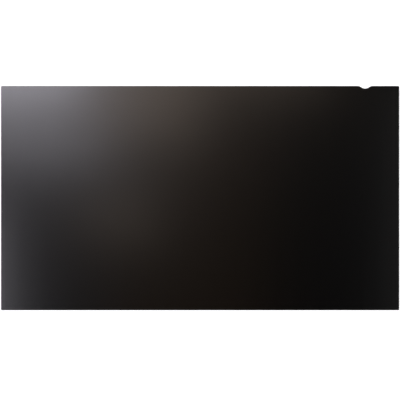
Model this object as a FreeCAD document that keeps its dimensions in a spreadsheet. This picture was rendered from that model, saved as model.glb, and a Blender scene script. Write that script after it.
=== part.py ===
import FreeCAD, Part
import math
import os

import Sketcher

# Monitor privacy filter: one flat sheet of louvre film, die-cut to the size of a 24 inch 16:9 screen,
# with a finger notch near the right end of its top edge.
#
# Millimetres. The sheet lies on its back face, the one that goes against the screen: X runs across
# the screen, Y up the screen and Z out of the front face. The origin is the middle of the back face.

# Driving dimensions: alias, value, what it measures
SIZES = (
    ("sheet_width", 531.0, "left edge to right edge"),
    ("sheet_height", 299.0, "bottom edge to top edge"),
    ("sheet_thickness", 0.53, "back face to front face, the whole laminate"),
    ("corner_radius", 1.5, "each of the four corners"),
    ("notch_from_right_edge", 45.4, "right edge to the middle of the notch"),
    ("notch_depth", 3.4, "top edge to the lowest point of the notch"),
    ("notch_radius", 9.0, "hollow of the notch, where the fingertip goes"),
    ("shoulder_radius", 8.0, "rounding where the notch runs out into the top edge"),
    ("edge_break", 0.06, "bevel round the outline of both faces, left by the die"),
)

# Pieces of the outline, counter-clockwise from the bottom edge
(
    BOTTOM_EDGE,
    BOTTOM_RIGHT_CORNER,
    RIGHT_EDGE,
    TOP_RIGHT_CORNER,
    TOP_EDGE_RIGHT_OF_NOTCH,
    RIGHT_SHOULDER,
    NOTCH,
    LEFT_SHOULDER,
    TOP_EDGE_LEFT_OF_NOTCH,
    TOP_LEFT_CORNER,
    LEFT_EDGE,
    BOTTOM_LEFT_CORNER,
) = range(12)

# Sketcher's numbers for a point of a piece, and for the sketch's own origin
START = 1
END = 2
CENTRE = 3
ORIGIN = (-1, 1)


def make_sizes(doc):
    """The spreadsheet of driving dimensions, one aliased cell each."""
    sizes = doc.addObject("Spreadsheet::Sheet", "sizes")
    for row, (alias, value, meaning) in enumerate(SIZES, 1):
        sizes.set(f"A{row}", alias)
        sizes.set(f"B{row}", str(value))
        sizes.set(f"C{row}", meaning)
        sizes.setAlias(f"B{row}", alias)
    doc.recompute()
    return sizes


def line(start, end):
    return Part.LineSegment(FreeCAD.Vector(*start, 0), FreeCAD.Vector(*end, 0))


def arc(centre, radius, start_angle, end_angle):
    """An arc that runs counter-clockwise from start_angle to end_angle, in degrees."""
    circle = Part.Circle(FreeCAD.Vector(*centre, 0), FreeCAD.Vector(0, 0, 1), radius)
    return Part.ArcOfCircle(circle, math.radians(start_angle), math.radians(end_angle))


def draw_outline(sketch, sizes):
    """Draws the twelve pieces where the driving dimensions put them."""
    right = sizes.sheet_width / 2
    top = sizes.sheet_height / 2
    corner = sizes.corner_radius
    shoulder = sizes.shoulder_radius
    hollow = sizes.notch_radius

    # The notch's circle touches each shoulder's circle from outside, so the line between their centres
    # is as long as both radii. Its rise and reach give the shoulder's place and the angle of contact.
    notch_x = right - sizes.notch_from_right_edge
    notch_y = top - sizes.notch_depth + hollow
    rise = hollow - sizes.notch_depth + shoulder
    reach = math.sqrt((hollow + shoulder) ** 2 - rise**2)
    contact = math.degrees(math.atan2(rise, reach))

    inner_x = right - corner
    inner_y = top - corner
    sketch.addGeometry(
        [
            line((-inner_x, -top), (inner_x, -top)),
            arc((inner_x, -inner_y), corner, -90, 0),
            line((right, -inner_y), (right, inner_y)),
            arc((inner_x, inner_y), corner, 0, 90),
            line((inner_x, top), (notch_x + reach, top)),
            arc((notch_x + reach, top - shoulder), shoulder, 90, 180 - contact),
            arc((notch_x, notch_y), hollow, 180 + contact, 360 - contact),
            arc((notch_x - reach, top - shoulder), shoulder, contact, 90),
            line((notch_x - reach, top), (-inner_x, top)),
            arc((-inner_x, inner_y), corner, 90, 180),
            line((-right, inner_y), (-right, -inner_y)),
            arc((-inner_x, -inner_y), corner, 180, 270),
        ],
        False,
    )


def join_outline(sketch):
    """Makes each piece run smoothly into the next, with the edges square to each other."""
    pieces = range(sketch.GeometryCount)
    for piece in pieces:
        following = (piece + 1) % len(pieces)
        # The notch is hollow, so its counter-clockwise arc runs against the outline
        leaving = START if piece == NOTCH else END
        arriving = END if following == NOTCH else START
        sketch.addConstraint(Sketcher.Constraint("Tangent", piece, leaving, following, arriving))
    for edge in (BOTTOM_EDGE, TOP_EDGE_RIGHT_OF_NOTCH, TOP_EDGE_LEFT_OF_NOTCH):
        sketch.addConstraint(Sketcher.Constraint("Horizontal", edge))
    for edge in (RIGHT_EDGE, LEFT_EDGE):
        sketch.addConstraint(Sketcher.Constraint("Vertical", edge))
    sketch.addConstraint(
        Sketcher.Constraint("PointOnObject", TOP_EDGE_LEFT_OF_NOTCH, START, TOP_EDGE_RIGHT_OF_NOTCH)
    )
    for corner in (TOP_RIGHT_CORNER, TOP_LEFT_CORNER, BOTTOM_LEFT_CORNER):
        sketch.addConstraint(Sketcher.Constraint("Equal", BOTTOM_RIGHT_CORNER, corner))
    sketch.addConstraint(Sketcher.Constraint("Equal", RIGHT_SHOULDER, LEFT_SHOULDER))


def bind(sketch, name, expression, kind, *where):
    """Adds a named dimension whose value follows the spreadsheet."""
    value = sketch.evalExpression(expression)
    number = sketch.addConstraint(Sketcher.Constraint(kind, *where, float(value)))
    sketch.renameConstraint(number, name)
    sketch.setExpression(f"Constraints.{name}", expression)


def dimension_outline(sketch):
    half_width = "sizes.sheet_width / 2"
    half_height = "sizes.sheet_height / 2"
    bind(sketch, "right_half", half_width, "DistanceX", *ORIGIN, RIGHT_EDGE, START)
    bind(sketch, "left_half", half_width, "DistanceX", LEFT_EDGE, START, *ORIGIN)
    bind(sketch, "top_half", half_height, "DistanceY", *ORIGIN, TOP_EDGE_RIGHT_OF_NOTCH, START)
    bind(sketch, "bottom_half", half_height, "DistanceY", BOTTOM_EDGE, START, *ORIGIN)
    bind(sketch, "corner", "sizes.corner_radius", "Radius", BOTTOM_RIGHT_CORNER)
    bind(sketch, "shoulder", "sizes.shoulder_radius", "Radius", RIGHT_SHOULDER)
    bind(sketch, "hollow", "sizes.notch_radius", "Radius", NOTCH)
    bind(
        sketch, "notch_inset", "sizes.notch_from_right_edge", "DistanceX", NOTCH, CENTRE, RIGHT_EDGE, START
    )
    bind(
        sketch,
        "notch_centre_height",
        f"{half_height} - sizes.notch_depth + sizes.notch_radius",
        "DistanceY",
        *ORIGIN,
        NOTCH,
        CENTRE,
    )


def origin_plane(body, role):
    return next(plane for plane in body.Origin.OriginFeatures if plane.Role == role)


def broad_faces(shape):
    """Names of the front and back faces, which the sheet's thickness lies between."""
    names = []
    for number, face in enumerate(shape.Faces, 1):
        if abs(face.normalAt(0, 0).z) > 0.99:
            names.append(f"Face{number}")
    return names


def make_filter_sheet(doc, sizes):
    """The sheet: its die-cut outline, raised to the laminate's thickness, with the cut edges broken."""
    body = doc.addObject("PartDesign::Body", "filter_sheet")
    body.Label = "filter_sheet"

    outline = body.newObject("Sketcher::SketchObject", "die_cut_outline")
    outline.AttachmentSupport = [(origin_plane(body, "XY_Plane"), "")]
    outline.MapMode = "FlatFace"
    draw_outline(outline, sizes)
    join_outline(outline)
    dimension_outline(outline)
    doc.recompute()
    if not outline.FullyConstrained:
        raise RuntimeError("the die-cut outline is not fully constrained")

    blank = body.newObject("PartDesign::Pad", "sheet_blank")
    blank.Profile = outline
    blank.setExpression("Length", "sizes.sheet_thickness")
    doc.recompute()

    broken_edges = body.newObject("PartDesign::Chamfer", "broken_edges")
    broken_edges.Base = (blank, broad_faces(blank.Shape))
    broken_edges.setExpression("Size", "sizes.edge_break")
    body.Tip = broken_edges
    doc.recompute()
    if not broken_edges.Shape.Volume < blank.Shape.Volume:
        raise RuntimeError("breaking the edges took nothing off the sheet")
    return body


def check(doc, parts):
    """Stops the build if any object failed or any part has no sound solid."""
    for thing in doc.Objects:
        if {"Invalid", "Error"} & set(thing.State):
            raise RuntimeError(f"{thing.Name} failed: {thing.State}")
    for part in parts:
        if part.Shape.isNull() or not part.Shape.isValid() or len(part.Shape.Solids) != 1:
            raise RuntimeError(f"{part.Label} is not one sound solid")


def main():
    doc = FreeCAD.newDocument("privacy_filter")
    sizes = make_sizes(doc)
    parts = [make_filter_sheet(doc, sizes)]
    doc.recompute()
    check(doc, parts)
    os.makedirs("parts", exist_ok=True)
    for part in parts:
        part.Shape.exportStep(f"parts/{part.Label}.step")
        box = part.Shape.BoundBox
        print(
            f"{part.Label}: {box.XLength:.2f} x {box.YLength:.2f} x {box.ZLength:.2f} mm, "
            f"{part.Shape.Volume / 1000:.2f} cm3, {len(part.Shape.Faces)} faces"
        )


main()
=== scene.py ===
"""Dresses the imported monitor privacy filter, a single sheet of louvre film, and sets up its studio.

The sheet lies on a white floor with its front face up. The camera looks straight down on it, and soft lamps
hang where their blurred reflections fall across the satin film.
"""

import math
from typing import NamedTuple

import bpy
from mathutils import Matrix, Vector


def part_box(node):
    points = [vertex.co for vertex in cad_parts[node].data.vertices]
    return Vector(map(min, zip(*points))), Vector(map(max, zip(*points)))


bl_info = {
    "name": "Privacy Filter Studio",
    "version": (1, 0, 0),
    "blender": (4, 5, 0),
    "location": "3D View > Sidebar > Privacy Filter",
    "description": "Gives a monitor privacy filter its louvre-film finish and a plain studio",
    "category": "Object",
}

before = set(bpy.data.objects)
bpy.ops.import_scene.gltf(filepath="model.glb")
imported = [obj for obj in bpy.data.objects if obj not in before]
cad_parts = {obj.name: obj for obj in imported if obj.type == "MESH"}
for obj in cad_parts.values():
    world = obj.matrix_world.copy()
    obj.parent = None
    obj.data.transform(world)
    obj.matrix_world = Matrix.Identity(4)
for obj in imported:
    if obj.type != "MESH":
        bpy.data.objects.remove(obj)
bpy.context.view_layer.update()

SHEET = "filter_sheet"

SHEET_LOW, SHEET_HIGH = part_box(SHEET)
SHEET_WIDTH = SHEET_HIGH[0] - SHEET_LOW[0]
SHEET_THICKNESS = SHEET_HIGH[2] - SHEET_LOW[2]

# Where the sheet lies in the photograph, in pixels
PHOTO_SIZE = 400
PHOTO_SHEET_WIDTH = 398.2
PHOTO_SHEET_CENTRE = (200.1, 198.1)

# How upright a normal is on the cut edge, and how upright on a broad face
EDGE_UPRIGHT = 0.6
FACE_UPRIGHT = 0.95

# Share of the thickness in each clear outer film, and how softly it runs into the core
OUTER_FILM_SHARE = 0.19
LAYER_BLEND = 0.1

# Values between which nearly all of a noise lies
NOISE_LOW = 0.2
NOISE_HIGH = 0.8

# The streaks run straight through the sheet, so they are far deeper than it is thick
STREAK_DEPTH = 1.0

# Near the sheet the lamps help to make the floor white, so it is lifted less there than far away
FLOOR_GAP = 0.0001
FLOOR_RADIUS = 9.0
FLOOR_SIDES = 96
NEAR_FLOOR = 0.40
FAR_FLOOR = 1.0
NEAR_LIFT = 0.40
FAR_LIFT = 1.0

# Sines of heights above the horizon: where the white walls start to fade, where the ceiling has taken over
# from them, and where the ceiling is as dim as it gets
WALL_TOP = 0.10
CEILING_START = 0.48
CEILING_MIDDLE = 0.96

# Heights of the lamps that hang over the sheet, and of the strips past its two ends
OVERHEAD = 1.90
BESIDE = 1.00


class Lamp(NamedTuple):
    """A soft rectangular lamp that hangs face down: its place, width and length, radiance and tint.

    A lamp that is not mirrored lights the scene but does not show in reflections.
    """

    name: str
    place: tuple
    size: tuple
    radiance: float
    tint: tuple
    mirrored: bool = True


WHITE = (1.0, 1.0, 1.0)
COOL = (0.94, 0.91, 1.0)
WARM = (1.0, 0.80, 0.65)
AMBER = (1.0, 0.55, 0.20)

LAMPS = (
    Lamp("key_softbox", (-0.70, 0.60, OVERHEAD), (0.70, 0.60), 11.0, COOL),
    Lamp("key_strip", (-0.50, 0.17, OVERHEAD), (0.40, 0.05), 9.0, COOL),
    Lamp("warm_panel", (-0.17, 0.60, OVERHEAD), (0.30, 0.80), 2.3, WARM),
    Lamp("far_panel", (0.10, 0.50, OVERHEAD), (0.55, 0.30), 1.6, WARM),
    Lamp("warm_bounce", (-0.25, -0.05, OVERHEAD), (0.20, 0.10), 1.8, WARM),
    Lamp("amber_bounce", (-0.05, -0.20, OVERHEAD), (0.50, 0.90), 0.12, AMBER),
    Lamp("left_strip", (-0.56, -0.40, BESIDE), (0.12, 0.75), 10.0, COOL),
    Lamp("right_strip", (0.55, -0.10, BESIDE), (0.25, 0.75), 0.30, WHITE),
    Lamp("fill", (0.60, -0.40, 2.20), (1.60, 1.60), 4.0, WHITE, mirrored=False),
)


class FilmFinish(bpy.types.PropertyGroup):
    """Colours and sizes of the louvre film's finish."""

    film_color: bpy.props.FloatVectorProperty(
        name="Film",
        description="Colour of the black film under its satin surface",
        subtype="COLOR",
        size=3,
        min=0.0,
        max=1.0,
        default=(0.0013, 0.0013, 0.0013),
    )
    edge_color: bpy.props.FloatVectorProperty(
        name="Cut Edge",
        description="Colour of the clear outer films where the die cut through them",
        subtype="COLOR",
        size=3,
        min=0.0,
        max=1.0,
        default=(0.030, 0.029, 0.028),
    )
    roughness: bpy.props.FloatProperty(
        name="Roughness",
        description="How far the satin surface blurs what it reflects",
        subtype="FACTOR",
        min=0.0,
        max=1.0,
        default=0.20,
    )
    edge_roughness: bpy.props.FloatProperty(
        name="Edge Roughness",
        description="How far the cut edge blurs what it reflects",
        subtype="FACTOR",
        min=0.0,
        max=1.0,
        default=0.45,
    )
    streak_width: bpy.props.FloatProperty(
        name="Streak Width",
        description="Width of the faint upright streaks that the louvres leave",
        unit="LENGTH",
        min=0.0005,
        default=0.0028,
    )
    streak_length: bpy.props.FloatProperty(
        name="Streak Length",
        description="Length of the streaks up the sheet",
        unit="LENGTH",
        min=0.01,
        default=0.35,
    )
    streak_contrast: bpy.props.FloatProperty(
        name="Streak Contrast",
        description="How far the streaks lighten and darken the film",
        subtype="FACTOR",
        min=0.0,
        max=1.0,
        default=0.25,
    )
    streak_roughness: bpy.props.FloatProperty(
        name="Streak Roughness",
        description="How far the streaks raise and lower the roughness",
        subtype="FACTOR",
        min=0.0,
        max=0.1,
        precision=3,
        default=0.008,
    )
    grain_size: bpy.props.FloatProperty(
        name="Grain Size",
        description="Size of the grains of the anti-glare surface",
        unit="LENGTH",
        min=0.0002,
        default=0.0008,
    )
    grain_height: bpy.props.FloatProperty(
        name="Grain Height",
        description="Height of the anti-glare grains",
        unit="LENGTH",
        min=0.0,
        precision=6,
        default=0.000006,
    )
    swell_length: bpy.props.FloatProperty(
        name="Swell Length",
        description="Distance between the slight swells of a film that does not lie dead flat",
        unit="LENGTH",
        min=0.02,
        default=0.24,
    )
    swell_height: bpy.props.FloatProperty(
        name="Swell Height",
        description="Height of the swells",
        unit="LENGTH",
        min=0.0,
        precision=5,
        default=0.0004,
    )
    outer_film: bpy.props.FloatProperty(
        name="Outer Film",
        description="Thickness of the clear film on each side of the louvre core, seen at the cut edge",
        unit="LENGTH",
        min=0.0,
        precision=5,
        default=OUTER_FILM_SHARE * SHEET_THICKNESS,
    )


class StudioSettings(bpy.types.PropertyGroup):
    """Camera and surroundings of the sheet."""

    lens: bpy.props.FloatProperty(
        name="Lens",
        description="Focal length of the camera",
        unit="CAMERA",
        min=10.0,
        default=100.0,
    )
    floor_color: bpy.props.FloatVectorProperty(
        name="Floor",
        description="Colour of the floor",
        subtype="COLOR",
        size=3,
        min=0.0,
        max=1.0,
        default=(0.80, 0.80, 0.80),
    )
    lamp_level: bpy.props.FloatProperty(
        name="Lamp Level",
        description="Brightness of all the lamps together",
        subtype="FACTOR",
        min=0.0,
        soft_max=2.0,
        default=1.0,
    )
    ceiling_level: bpy.props.FloatProperty(
        name="Ceiling Level",
        description="Brightness of the dim middle of the ceiling, over the lamps",
        subtype="FACTOR",
        min=0.0,
        max=1.0,
        default=0.004,
    )
    ceiling_edge_level: bpy.props.FloatProperty(
        name="Ceiling Edge Level",
        description="Brightness of the ceiling where it meets the walls",
        subtype="FACTOR",
        min=0.0,
        max=1.0,
        default=0.25,
    )


def feed(tree, socket, value):
    """Links a socket to another one, or sets it to a number, a vector or a colour."""
    if isinstance(value, bpy.types.NodeSocket):
        tree.links.new(value, socket)
    elif socket.type == "RGBA":
        socket.default_value = (*value, 1.0)
    else:
        socket.default_value = value


def node(tree, kind, settings=None, **inputs):
    """Adds a shader node, with its settings, and feeds the inputs that are named."""
    added = tree.nodes.new(kind)
    for name, value in (settings or {}).items():
        setattr(added, name, value)
    for name, value in inputs.items():
        feed(tree, added.inputs[name.replace("_", " ")], value)
    return added


def calculate(tree, operation, *values):
    """The result of a Math node for up to three values."""
    added = node(tree, "ShaderNodeMath", {"operation": operation})
    for socket, value in zip(added.inputs, values):
        feed(tree, socket, value)
    return added.outputs["Value"]


def spread(tree, value, from_low, from_high, to_low, to_high):
    """Maps a value smoothly from one range onto another."""
    added = node(
        tree,
        "ShaderNodeMapRange",
        {"interpolation_type": "SMOOTHSTEP"},
        Value=value,
        From_Min=from_low,
        From_Max=from_high,
        To_Min=to_low,
        To_Max=to_high,
    )
    return added.outputs["Result"]


def mix_colors(tree, factor, first, second):
    """Blends two colours by a factor."""
    added = node(tree, "ShaderNodeMix", {"data_type": "RGBA"})
    feed(tree, added.inputs["Factor"], factor)
    colors = [socket for socket in added.inputs if socket.type == "RGBA"]
    for socket, value in zip(colors, (first, second)):
        feed(tree, socket, value)
    return next(socket for socket in added.outputs if socket.type == "RGBA")


def grain_pattern(tree, place, sizes, detail):
    """Noise whose lumps have these sizes along X, Y and Z."""
    scale = tuple(1.0 / size for size in sizes)
    stretched = node(tree, "ShaderNodeMapping", Vector=place, Scale=scale)
    noise = node(tree, "ShaderNodeTexNoise", Vector=stretched.outputs["Vector"], Scale=1.0, Detail=detail)
    return noise.outputs["Fac"]


def new_tree(owner):
    """An empty node tree for a material or a world."""
    owner.use_nodes = True
    owner.node_tree.nodes.clear()
    return owner.node_tree


def cut_edge_mask(tree, coordinates):
    """1 on the cut edge round the outline, 0 on the two broad faces."""
    normal = node(tree, "ShaderNodeSeparateXYZ", Vector=coordinates.outputs["Normal"])
    upright = calculate(tree, "ABSOLUTE", normal.outputs["Z"])
    return spread(tree, upright, EDGE_UPRIGHT, FACE_UPRIGHT, 1.0, 0.0)


def outer_film_mask(tree, coordinates, thickness):
    """1 in the clear outer films of the laminate, 0 in its louvre core."""
    place = node(tree, "ShaderNodeSeparateXYZ", Vector=coordinates.outputs["Object"])
    middle = (SHEET_LOW[2] + SHEET_HIGH[2]) / 2
    from_middle = calculate(tree, "ABSOLUTE", calculate(tree, "SUBTRACT", place.outputs["Z"], middle))
    core = SHEET_THICKNESS / 2 - thickness
    return spread(tree, from_middle, (1 - LAYER_BLEND) * core, (1 + LAYER_BLEND) * core, 0.0, 1.0)


def louvre_film(finish):
    """Black louvre film under a satin anti-glare surface, with the laminate's layers at the cut edge."""
    material = bpy.data.materials.new("louvre_film")
    tree = new_tree(material)
    coordinates = node(tree, "ShaderNodeTexCoord")
    place = coordinates.outputs["Object"]

    streak_sizes = (finish.streak_width, finish.streak_length, STREAK_DEPTH)
    streaks = grain_pattern(tree, place, streak_sizes, detail=2.0)
    swells = grain_pattern(tree, place, (finish.swell_length,) * 3, detail=0.0)
    grains = grain_pattern(tree, place, (finish.grain_size,) * 3, detail=1.0)
    edge = cut_edge_mask(tree, coordinates)
    clear = outer_film_mask(tree, coordinates, finish.outer_film)

    film = Vector(finish.film_color)
    darker = tuple((1 - finish.streak_contrast) * film)
    lighter = tuple((1 + finish.streak_contrast) * film)
    louvres = mix_colors(tree, streaks, darker, lighter)
    layers = mix_colors(tree, clear, tuple(film), tuple(finish.edge_color))
    color = mix_colors(tree, edge, louvres, layers)

    smoothest = finish.roughness - finish.streak_roughness
    roughest = finish.roughness + finish.streak_roughness
    satin = spread(tree, streaks, NOISE_LOW, NOISE_HIGH, smoothest, roughest)
    cut = calculate(tree, "MULTIPLY", edge, finish.edge_roughness)
    roughness = calculate(tree, "MAXIMUM", satin, cut)

    lay = node(tree, "ShaderNodeBump", Strength=1.0, Distance=finish.swell_height, Height=swells)
    relief = node(
        tree,
        "ShaderNodeBump",
        Strength=1.0,
        Distance=finish.grain_height,
        Height=grains,
        Normal=lay.outputs["Normal"],
    )

    surface = node(
        tree,
        "ShaderNodeBsdfPrincipled",
        Base_Color=color,
        Roughness=roughness,
        IOR=1.5,
        Normal=relief.outputs["Normal"],
    )
    node(tree, "ShaderNodeOutputMaterial", Surface=surface.outputs["BSDF"])
    return material


def seen_directly(tree):
    """1 for what is seen straight, mirrored or through glass, 0 for light that only falls on things."""
    path = node(tree, "ShaderNodeLightPath").outputs
    bent = calculate(tree, "MAXIMUM", path["Is Glossy Ray"], path["Is Transmission Ray"])
    return calculate(tree, "MAXIMUM", path["Is Camera Ray"], bent)


def white_floor(studio):
    """A pale floor that takes shadows and light, lifted to white where it is seen."""
    material = bpy.data.materials.new("white_floor")
    tree = new_tree(material)
    place = node(tree, "ShaderNodeTexCoord").outputs["Object"]
    away = node(tree, "ShaderNodeVectorMath", {"operation": "LENGTH"}, Vector=place).outputs["Value"]
    lift = spread(tree, away, NEAR_FLOOR, FAR_FLOOR, NEAR_LIFT, FAR_LIFT)
    glow = node(tree, "ShaderNodeEmission", Color=WHITE)
    feed(tree, glow.inputs["Strength"], calculate(tree, "MULTIPLY", lift, seen_directly(tree)))
    paint = node(tree, "ShaderNodeBsdfDiffuse", Color=tuple(studio.floor_color))
    both = node(tree, "ShaderNodeAddShader")
    feed(tree, both.inputs[0], paint.outputs["BSDF"])
    feed(tree, both.inputs[1], glow.outputs["Emission"])
    node(tree, "ShaderNodeOutputMaterial", Surface=both.outputs["Shader"])
    return material


def make_floor(studio):
    """A round floor, a hair's breadth under the sheet."""
    low = SHEET_LOW[2] - FLOOR_GAP
    bpy.ops.mesh.primitive_circle_add(
        vertices=FLOOR_SIDES, radius=FLOOR_RADIUS, fill_type="NGON", location=(0.0, 0.0, low)
    )
    floor = bpy.context.object
    floor.name = "floor"
    floor.data.materials.append(white_floor(studio))


def make_room(studio):
    """White walls that the camera and reflections see, and a ceiling that grows dim over the lamps."""
    room = bpy.data.worlds.new("studio_room")
    tree = new_tree(room)
    direction = node(tree, "ShaderNodeTexCoord").outputs["Generated"]
    height = node(tree, "ShaderNodeSeparateXYZ", Vector=direction).outputs["Z"]
    walls = spread(tree, height, WALL_TOP, CEILING_START, 1.0, 0.0)
    lit = calculate(tree, "MULTIPLY", walls, seen_directly(tree))
    ceiling = spread(
        tree, height, CEILING_START, CEILING_MIDDLE, studio.ceiling_edge_level, studio.ceiling_level
    )
    strength = calculate(tree, "MAXIMUM", lit, ceiling)
    background = node(tree, "ShaderNodeBackground", Color=WHITE, Strength=strength)
    node(tree, "ShaderNodeOutputWorld", Surface=background.outputs["Background"])
    bpy.context.scene.world = room


def make_lamp(lamp, level):
    """An area lamp. Its power is pi times its radiance times the area of its face."""
    bpy.ops.object.light_add(type="AREA", location=lamp.place, rotation=(0.0, 0.0, 0.0))
    made = bpy.context.object
    made.name = lamp.name
    made.visible_camera = False
    made.visible_glossy = lamp.mirrored
    made.data.shape = "RECTANGLE"
    made.data.size, made.data.size_y = lamp.size
    made.data.color = lamp.tint
    made.data.energy = level * lamp.radiance * math.pi * lamp.size[0] * lamp.size[1]


def make_camera(studio):
    """Looks straight down on the front face from where the sheet is as large as in the photograph."""
    pixel = SHEET_WIDTH / PHOTO_SHEET_WIDTH
    across = pixel * (PHOTO_SIZE / 2 - PHOTO_SHEET_CENTRE[0])
    up = pixel * (PHOTO_SHEET_CENTRE[1] - PHOTO_SIZE / 2)
    bpy.ops.object.camera_add(rotation=(0.0, 0.0, 0.0))
    camera = bpy.context.object
    camera.name = "camera"
    camera.data.lens = studio.lens
    distance = PHOTO_SIZE * pixel * studio.lens / camera.data.sensor_width
    camera.location = (across, up, SHEET_HIGH[2] + distance)
    bpy.context.scene.camera = camera


class PRIVACYFILTER_OT_finish_sheet(bpy.types.Operator):
    """Give the sheet its louvre-film finish"""

    bl_idname = "privacyfilter.finish_sheet"
    bl_label = "Finish Sheet"

    def execute(self, context):
        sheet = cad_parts[SHEET]
        if not sheet.material_slots:
            raise RuntimeError("the sheet has no material slot to finish")
        film = louvre_film(context.scene.film_finish)
        for slot in sheet.material_slots:
            slot.material = film
        return {"FINISHED"}


class PRIVACYFILTER_OT_build_stage(bpy.types.Operator):
    """Lay the floor, hang the lamps and set the camera over the sheet"""

    bl_idname = "privacyfilter.build_stage"
    bl_label = "Build Stage"

    def execute(self, context):
        studio = context.scene.filter_studio
        make_floor(studio)
        make_room(studio)
        for lamp in LAMPS:
            make_lamp(lamp, studio.lamp_level)
        make_camera(studio)
        context.scene.view_settings.view_transform = "Standard"
        return {"FINISHED"}


class PRIVACYFILTER_PT_studio(bpy.types.Panel):
    """Lists the finish and studio settings with the operators that use them"""

    bl_label = "Privacy Filter"
    bl_idname = "PRIVACYFILTER_PT_studio"
    bl_space_type = "VIEW_3D"
    bl_region_type = "UI"
    bl_category = "Privacy Filter"

    def draw(self, context):
        sections = (
            (context.scene.film_finish, PRIVACYFILTER_OT_finish_sheet),
            (context.scene.filter_studio, PRIVACYFILTER_OT_build_stage),
        )
        for settings, operator in sections:
            box = self.layout.box()
            for name in type(settings).__annotations__:
                box.prop(settings, name)
            box.operator(operator.bl_idname)


CLASSES = (
    FilmFinish,
    StudioSettings,
    PRIVACYFILTER_OT_finish_sheet,
    PRIVACYFILTER_OT_build_stage,
    PRIVACYFILTER_PT_studio,
)


def register():
    for cls in CLASSES:
        bpy.utils.register_class(cls)
    bpy.types.Scene.film_finish = bpy.props.PointerProperty(type=FilmFinish)
    bpy.types.Scene.filter_studio = bpy.props.PointerProperty(type=StudioSettings)


def unregister():
    del bpy.types.Scene.filter_studio
    del bpy.types.Scene.film_finish
    for cls in reversed(CLASSES):
        bpy.utils.unregister_class(cls)


def main():
    register()
    bpy.ops.privacyfilter.finish_sheet()
    bpy.ops.privacyfilter.build_stage()


if __name__ == "__main__":
    main()
